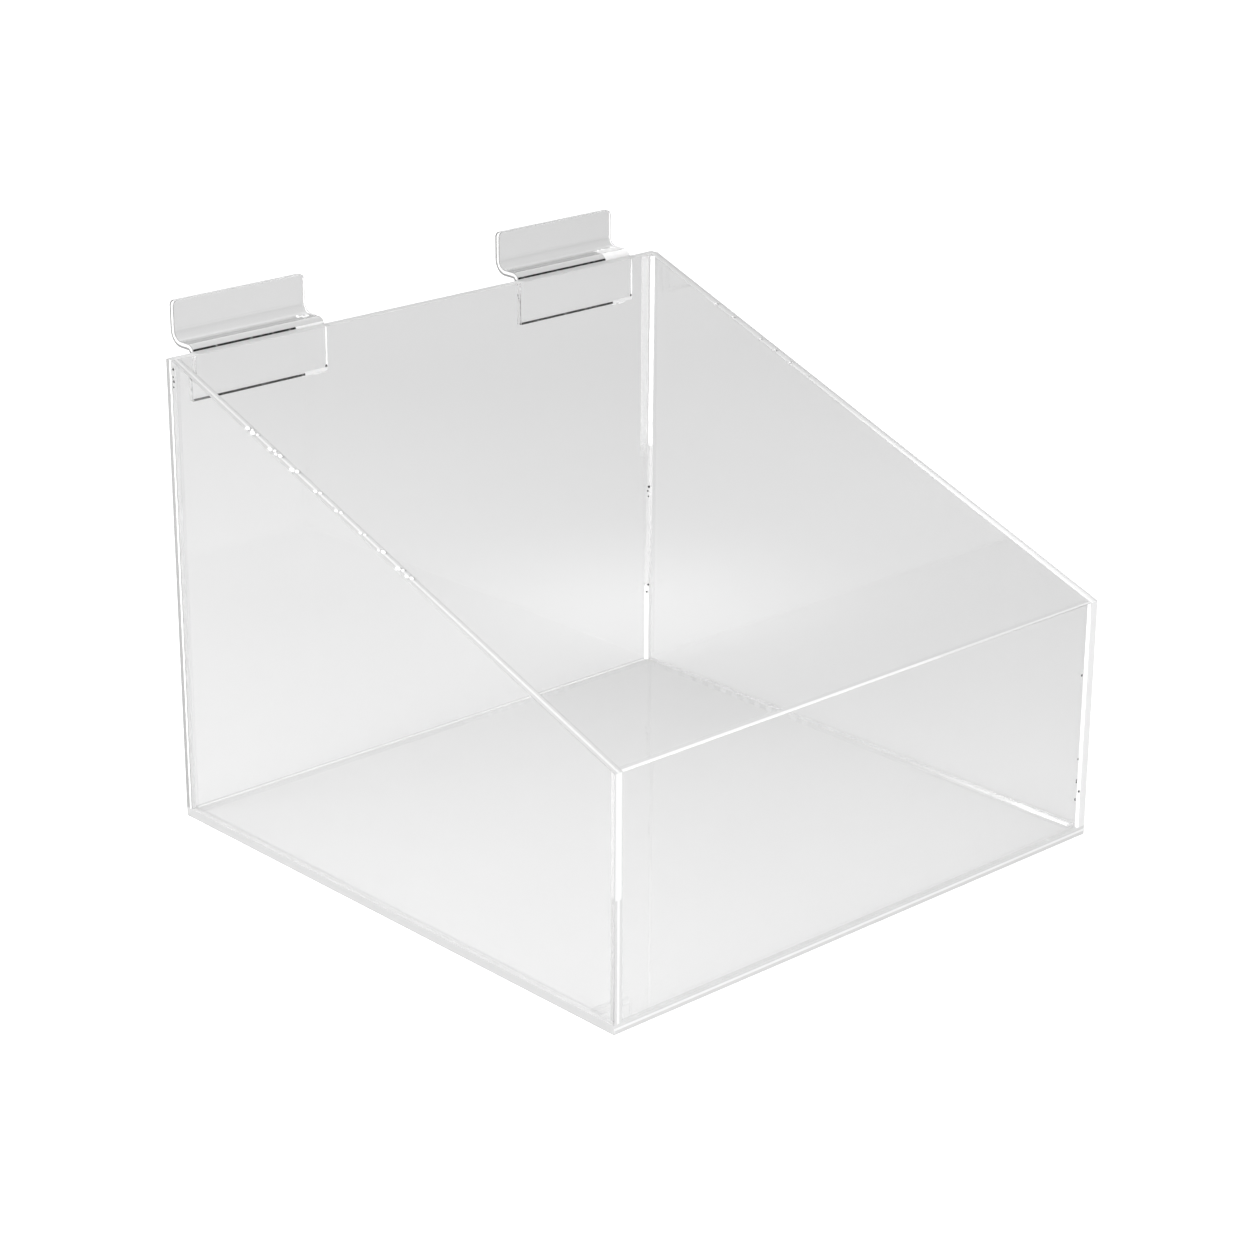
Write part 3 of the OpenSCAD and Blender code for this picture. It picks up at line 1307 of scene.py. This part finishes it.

# %% [markdown]
# ## Bubbles in the cement
# Bubbles were trapped in the cement of the rear right corner, of the front right corner, of
# the hooks and of the rear left seam. Each is a small dark ball, listed in mm.

# %% Bubbles
CORNER_BUBBLES = [(95.75, 95.85, 31.4), (95.2, 96.05, 28.8), (95.7, 96.0, 64)]
CORNER_BUBBLES += [(95.5, 96.1, 66), (95.8, 95.9, 67.5)]
FRONT_BUBBLES = [(95.2, -99.2, 19.6), (95.2, -99.2, 18.9), (95, -99.2, 13.2), (95.1, -99.2, 12.8)]
FRONT_BUBBLES += [(96.6, -99.3, 15.4), (95.4, -99.2, 26.6), (95.2, -98.6, 54.5)]
HOOK_BUBBLES = [(x, 100.5, z) for x in (89.5, -40.5) for z in (136.2, 136.6)]
LEFT_BUBBLES = [(-99.5, y, z) for y, z in ((96.7, 147.2), (96.9, 144.8), (96.6, 143.4), (96.8, 141.6))]
bubbles = CORNER_BUBBLES + FRONT_BUBBLES + HOOK_BUBBLES + LEFT_BUBBLES
lay_balls("cement_bubbles", bubbles, (0.8, 0.8, 0.9), least=0.6, seed=7, finish=painted_dark_spots)

# %% [markdown]
# ## Crumbs of cement at the hooks
# At the right end of each hook the cement dried to white crumbs, on the web and under the
# leg. They are scattered over four small patches.

# %% Crumbs
WEB_HIGH = 152
LEG_FOOT = 134.55
LEG_DEEP = (100.75, 101.7)
right_web = [(81, 101, 151.1), (89.4, 101, 151.1), (89.4, 106.5, WEB_HIGH), (81, 106.5, WEB_HIGH)]
left_web = [(x, y, WEB_HIGH) for x, y in four_corners(-46, -42.5, 104, 106)]
right_leg = [(x, y, LEG_FOOT) for x, y in four_corners(81, 89.6, *LEG_DEEP)]
left_leg = [(x, y, LEG_FOOT) for x, y in four_corners(-49, -40.4, *LEG_DEEP)]
crumbs = right_web + left_web + right_leg + left_leg
lay_balls("hook_cement", crumbs, (1.3, 1.3, 0.8), least=0.4, seed=5, finish=bright_edge, density=1.4e6)

# %% [markdown]
# ## Dust
# A little grey dust lies on the floor and clings to the right side. The same scatter lays
# it, thinly, just off the sheets, and its tone wanders.

# %% Dust
DUST_LIFT = 0.1
DUST_FLOOR = 3 + DUST_LIFT
DUST_SIDE = 97 - DUST_LIFT
fluff = spotted_finish("dust", (0.3, 0.7), (0.25, 0.6), size=2 * MM, rough=0.9, detail=RICH_NOISE)
dusty = [(x, y, DUST_FLOOR) for x, y in four_corners(-95, 95, -95, 95)]
dusty += [(DUST_SIDE, y, z) for y, z in four_corners(-60, 95, 6, 80)]
lay_balls("dust", dusty, (0.4, 0.4, 0.2), least=0.5, seed=11, finish=fluff, density=700.0)
